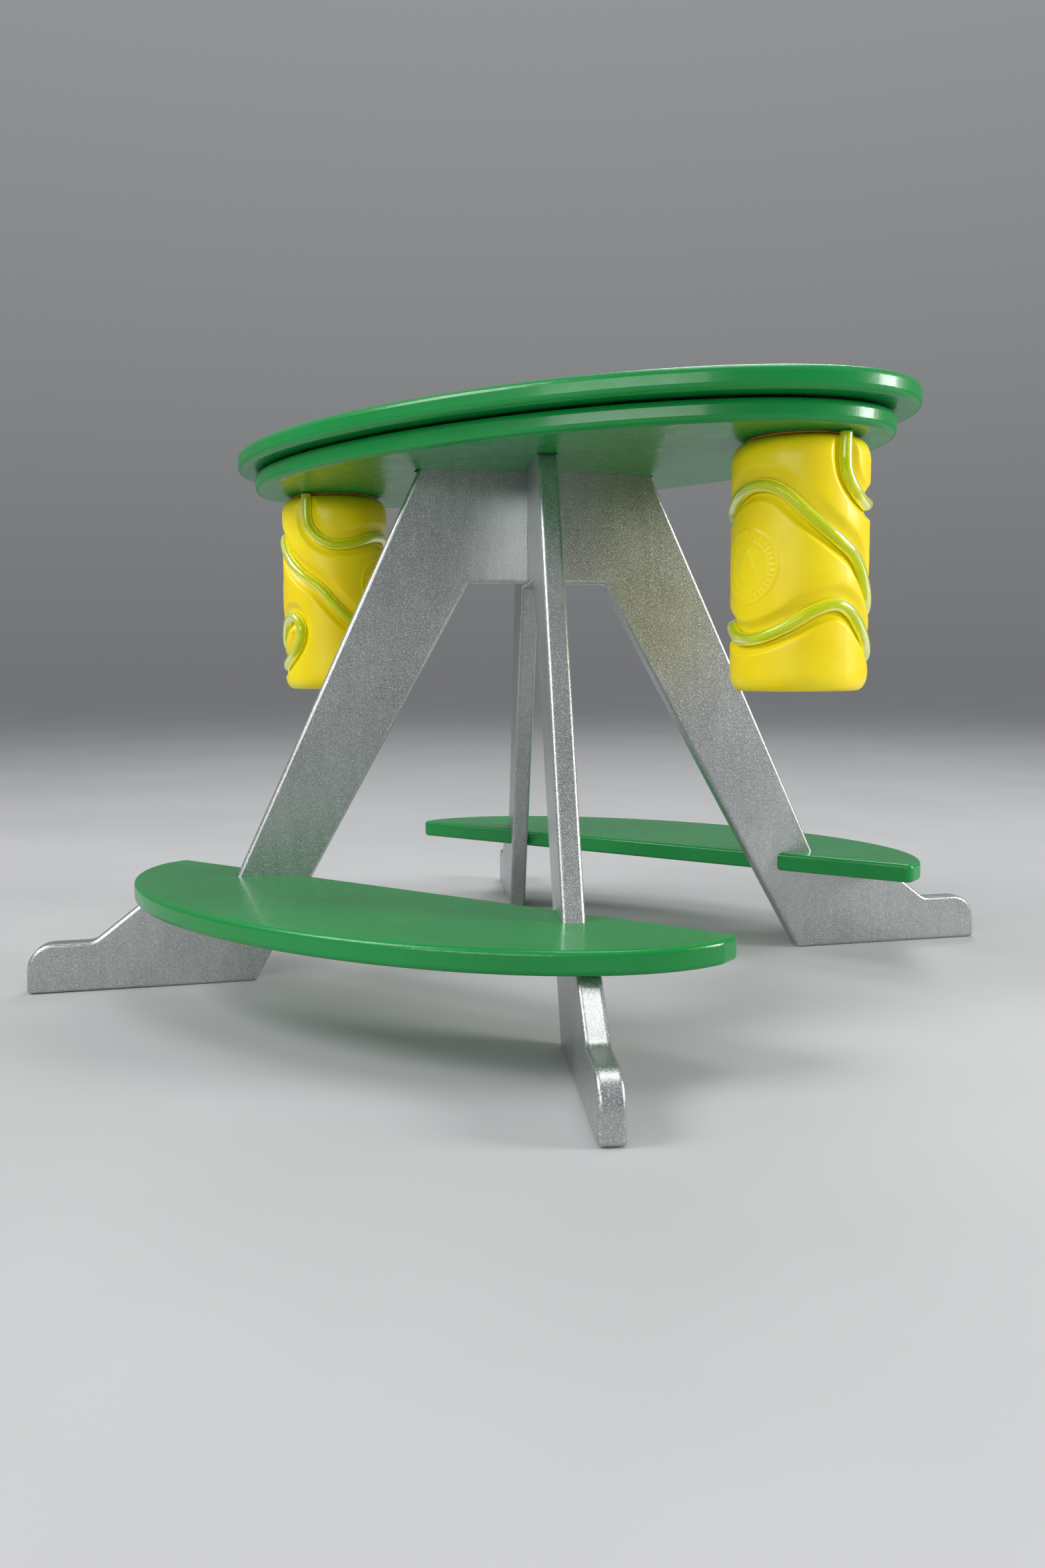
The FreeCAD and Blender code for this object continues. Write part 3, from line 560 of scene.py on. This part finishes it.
    def straw(self, material):
        """Hollow straw along its centre line."""
        line = self.straw_line()
        tangent = np.gradient(line, axis=0)
        tangent /= np.linalg.norm(tangent, axis=1)[:, None]
        out = line - np.array([self.x, 0, 0])
        out[:, 2] = 0
        sideways = np.cross(tangent, out)
        for i in range(len(line)):
            if np.linalg.norm(sideways[i]) < 0.3 * np.linalg.norm(out[i]):
                sideways[i] = sideways[i - 1]
            sideways[i] -= tangent[i] * sideways[i].dot(tangent[i])
            sideways[i] /= np.linalg.norm(sideways[i])
        normal = np.cross(sideways, tangent)
        points = []
        for radius, order in ((STRAW_R, 1), (STRAW_BORE, -1)):
            for i in range(len(line))[::order]:
                for k in range(STRAW_SIDES):
                    a = 2 * math.pi * k / STRAW_SIDES
                    points.append(line[i] + radius * (math.cos(a) * sideways[i] + math.sin(a) * normal[i]))
        faces = ring_faces(2 * len(line), STRAW_SIDES, closed=True)
        mesh_piece("straw_tube_" + self.side, points, faces, "bottle_" + self.side, material,
                   "straw_" + self.side)


def cap_piece(side, material):
    """Screw cap: ribbed flange, stepped top and a plain skirt, open below."""
    low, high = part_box("cap_" + side)
    centre = (low + high) / 2
    flange = (high.x - low.x) / 2 - 0.05 * MM
    bore = NECK_R + NECK_FIT
    skirt = bore + CAP_WALL
    top = high.z
    under = top - CAP_TOP_T
    dish = top - CAP_DISH
    profile = [
        (CAP_HUB_R, dish, 0), (CAP_DISH_R, dish, 0), (CAP_DISH_R + 0.6 * MM, top, 0),
        (flange - 1.0 * MM, top, 0), (flange - 0.3 * MM, top - 0.15 * MM, 0.5), (flange, top - 0.5 * MM, 1),
        (flange, top - 1.3 * MM, 1), (flange - 0.4 * MM, under, 0.5), (skirt + 0.2 * MM, under, 0),
        (skirt, top - 1.9 * MM, 0), (skirt, low.z + 0.4 * MM, 0), (skirt - 0.4 * MM, low.z, 0),
        (bore + 0.1 * MM, low.z, 0), (bore, low.z + 0.3 * MM, 0), (bore, top - 1.7 * MM, 0),
        (bore - 0.4 * MM, under, 0), (CAP_HUB_R, under, 0),
    ]
    points = []
    for radius, z, rib in profile:
        for k in range(CAP_SIDES):
            a = 2 * math.pi * k / CAP_SIDES
            r = radius - rib * CAP_RIB_DEPTH * (0.5 + 0.5 * math.cos(CAP_RIBS * a))
            points.append((centre.x + r * math.cos(a), centre.y + r * math.sin(a), z))
    count = len(points)
    points += [(centre.x, centre.y, dish), (centre.x, centre.y, under)]
    faces = [tuple(reversed(f)) for f in ring_faces(len(profile), CAP_SIDES)]
    last = (len(profile) - 1) * CAP_SIDES
    for k in range(CAP_SIDES):
        j = (k + 1) % CAP_SIDES
        faces.append((count, k, j))
        faces.append((count + 1, last + j, last + k))
    mesh_piece("cap_moulding_" + side, points, faces, "cap_" + side, material,
               "cap_" + side)


# ---- stage ----
LIGHT_TARGET = (0, 0, 0.2)


def area_light(name, place, size, power):
    """Soft rectangular light aimed at the middle of the object."""
    data = bpy.data.lights.new(name, "AREA")
    data.shape = "RECTANGLE"
    data.size, data.size_y = size
    data.energy = power
    light = bpy.data.objects.new(name, data)
    bpy.context.scene.collection.objects.link(light)
    light.location = place
    light.rotation_mode = "QUATERNION"
    light.rotation_quaternion = (Vector(LIGHT_TARGET) - Vector(place)).to_track_quat("-Z", "Y")


def stage():
    """Plain pale floor, pale surroundings and soft lights."""
    bpy.context.scene.view_settings.view_transform = "Standard"
    bpy.ops.mesh.primitive_plane_add(size=40)
    floor = bpy.context.object
    floor.name = "floor"
    s = Shader("floor_paper")
    s.colour(s.mix(s.between(s.noise(3, 3), 0.3, 0.7), (0.455, 0.458, 0.465), (0.485, 0.488, 0.495)))
    s.rough(s.between(s.noise(20, 3), 0.3, 0.7, 0.75, 0.85))
    floor.data.materials.append(s.material)
    surroundings()
    area_light("key", (-0.9, -1.3, 1.5), (0.9, 0.9), 24)
    area_light("front_strip", (0.3, -1.7, 0.6), (1.2, 0.25), 7)
    area_light("right_fill", (1.6, 0.65, 0.7), (0.5, 0.6), 22)
    area_light("back_rim", (-0.5, 1.6, 2.2), (1.0, 0.8), 15)
    area_light("overhead", (0.2, 0.1, 1.9), (1.0, 0.7), 8)


def surroundings():
    """Pale surroundings, dimmer towards the horizon."""
    world = bpy.data.worlds.new("surroundings")
    bpy.context.scene.world = world
    world.use_nodes = True
    nodes = world.node_tree.nodes
    links = world.node_tree.links
    sky = nodes["Background"]
    sky.inputs["Color"].default_value = (0.80, 0.82, 0.85, 1)
    parts = nodes.new("ShaderNodeSeparateXYZ")
    links.new(nodes.new("ShaderNodeTexCoord").outputs["Generated"], parts.inputs[0])
    rise = nodes.new("ShaderNodeMapRange")
    for key, number in (("From Min", 0.0), ("From Max", 0.7), ("To Min", 0.21), ("To Max", 0.44)):
        rise.inputs[key].default_value = number
    links.new(parts.outputs["Z"], rise.inputs["Value"])
    links.new(rise.outputs["Result"], sky.inputs["Strength"])


def dress(nodes, material):
    """Give CAD nodes one material."""
    for node in nodes:
        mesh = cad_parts[node].data
        mesh.materials.clear()
        mesh.materials.append(material)


def main():
    """Make every material and piece."""
    stage()
    dress(["under_board", "top_board"], green_paint("green_paint_ovals", (0.5, 9, 9)))
    dress(["bench_front", "bench_rear"], green_paint("green_paint_benches", (0.5, 9, 9)))
    dress(["leg_panel_a", "leg_panel_b"], silver_paint("silver_paint"))
    dress(["bearing_lower_plate", "bearing_upper_plate"],
          plated_steel("plate_steel", (0.50, 0.51, 0.53), (0.70, 0.71, 0.72)))
    dress(["bearing_balls", "under_board_screws", "lower_plate_screws", "upper_plate_screws"],
          plated_steel("screw_steel", (0.55, 0.53, 0.46), (0.74, 0.71, 0.62)))
    dress(["bearing_cage"], moulded("nylon", (0.72, 0.72, 0.66), (0.82, 0.82, 0.77), 0.45))
    dress(["bench_dowels_front", "bench_dowels_rear"], bare_beech("dowel_wood"))
    dress(["cap_liner_left", "cap_liner_right"],
          moulded("liner_foam", (0.74, 0.75, 0.73), (0.84, 0.85, 0.83), 0.75))
    yellow = bottle_plastic("bottle_plastic")
    lime = straw_plastic("straw_plastic")
    orange = moulded("cap_plastic", (0.93, 0.32, 0.010), (0.97, 0.39, 0.015), 0.3)
    for side, turn in (("left", LEFT_TURN), ("right", RIGHT_TURN)):
        low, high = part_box("cap_" + side)
        bottle = Bottle(side, turn, (low.x + high.x) / 2)
        bottle.build(yellow)
        bottle.straw(lime)
        cap_piece(side, orange)


main()
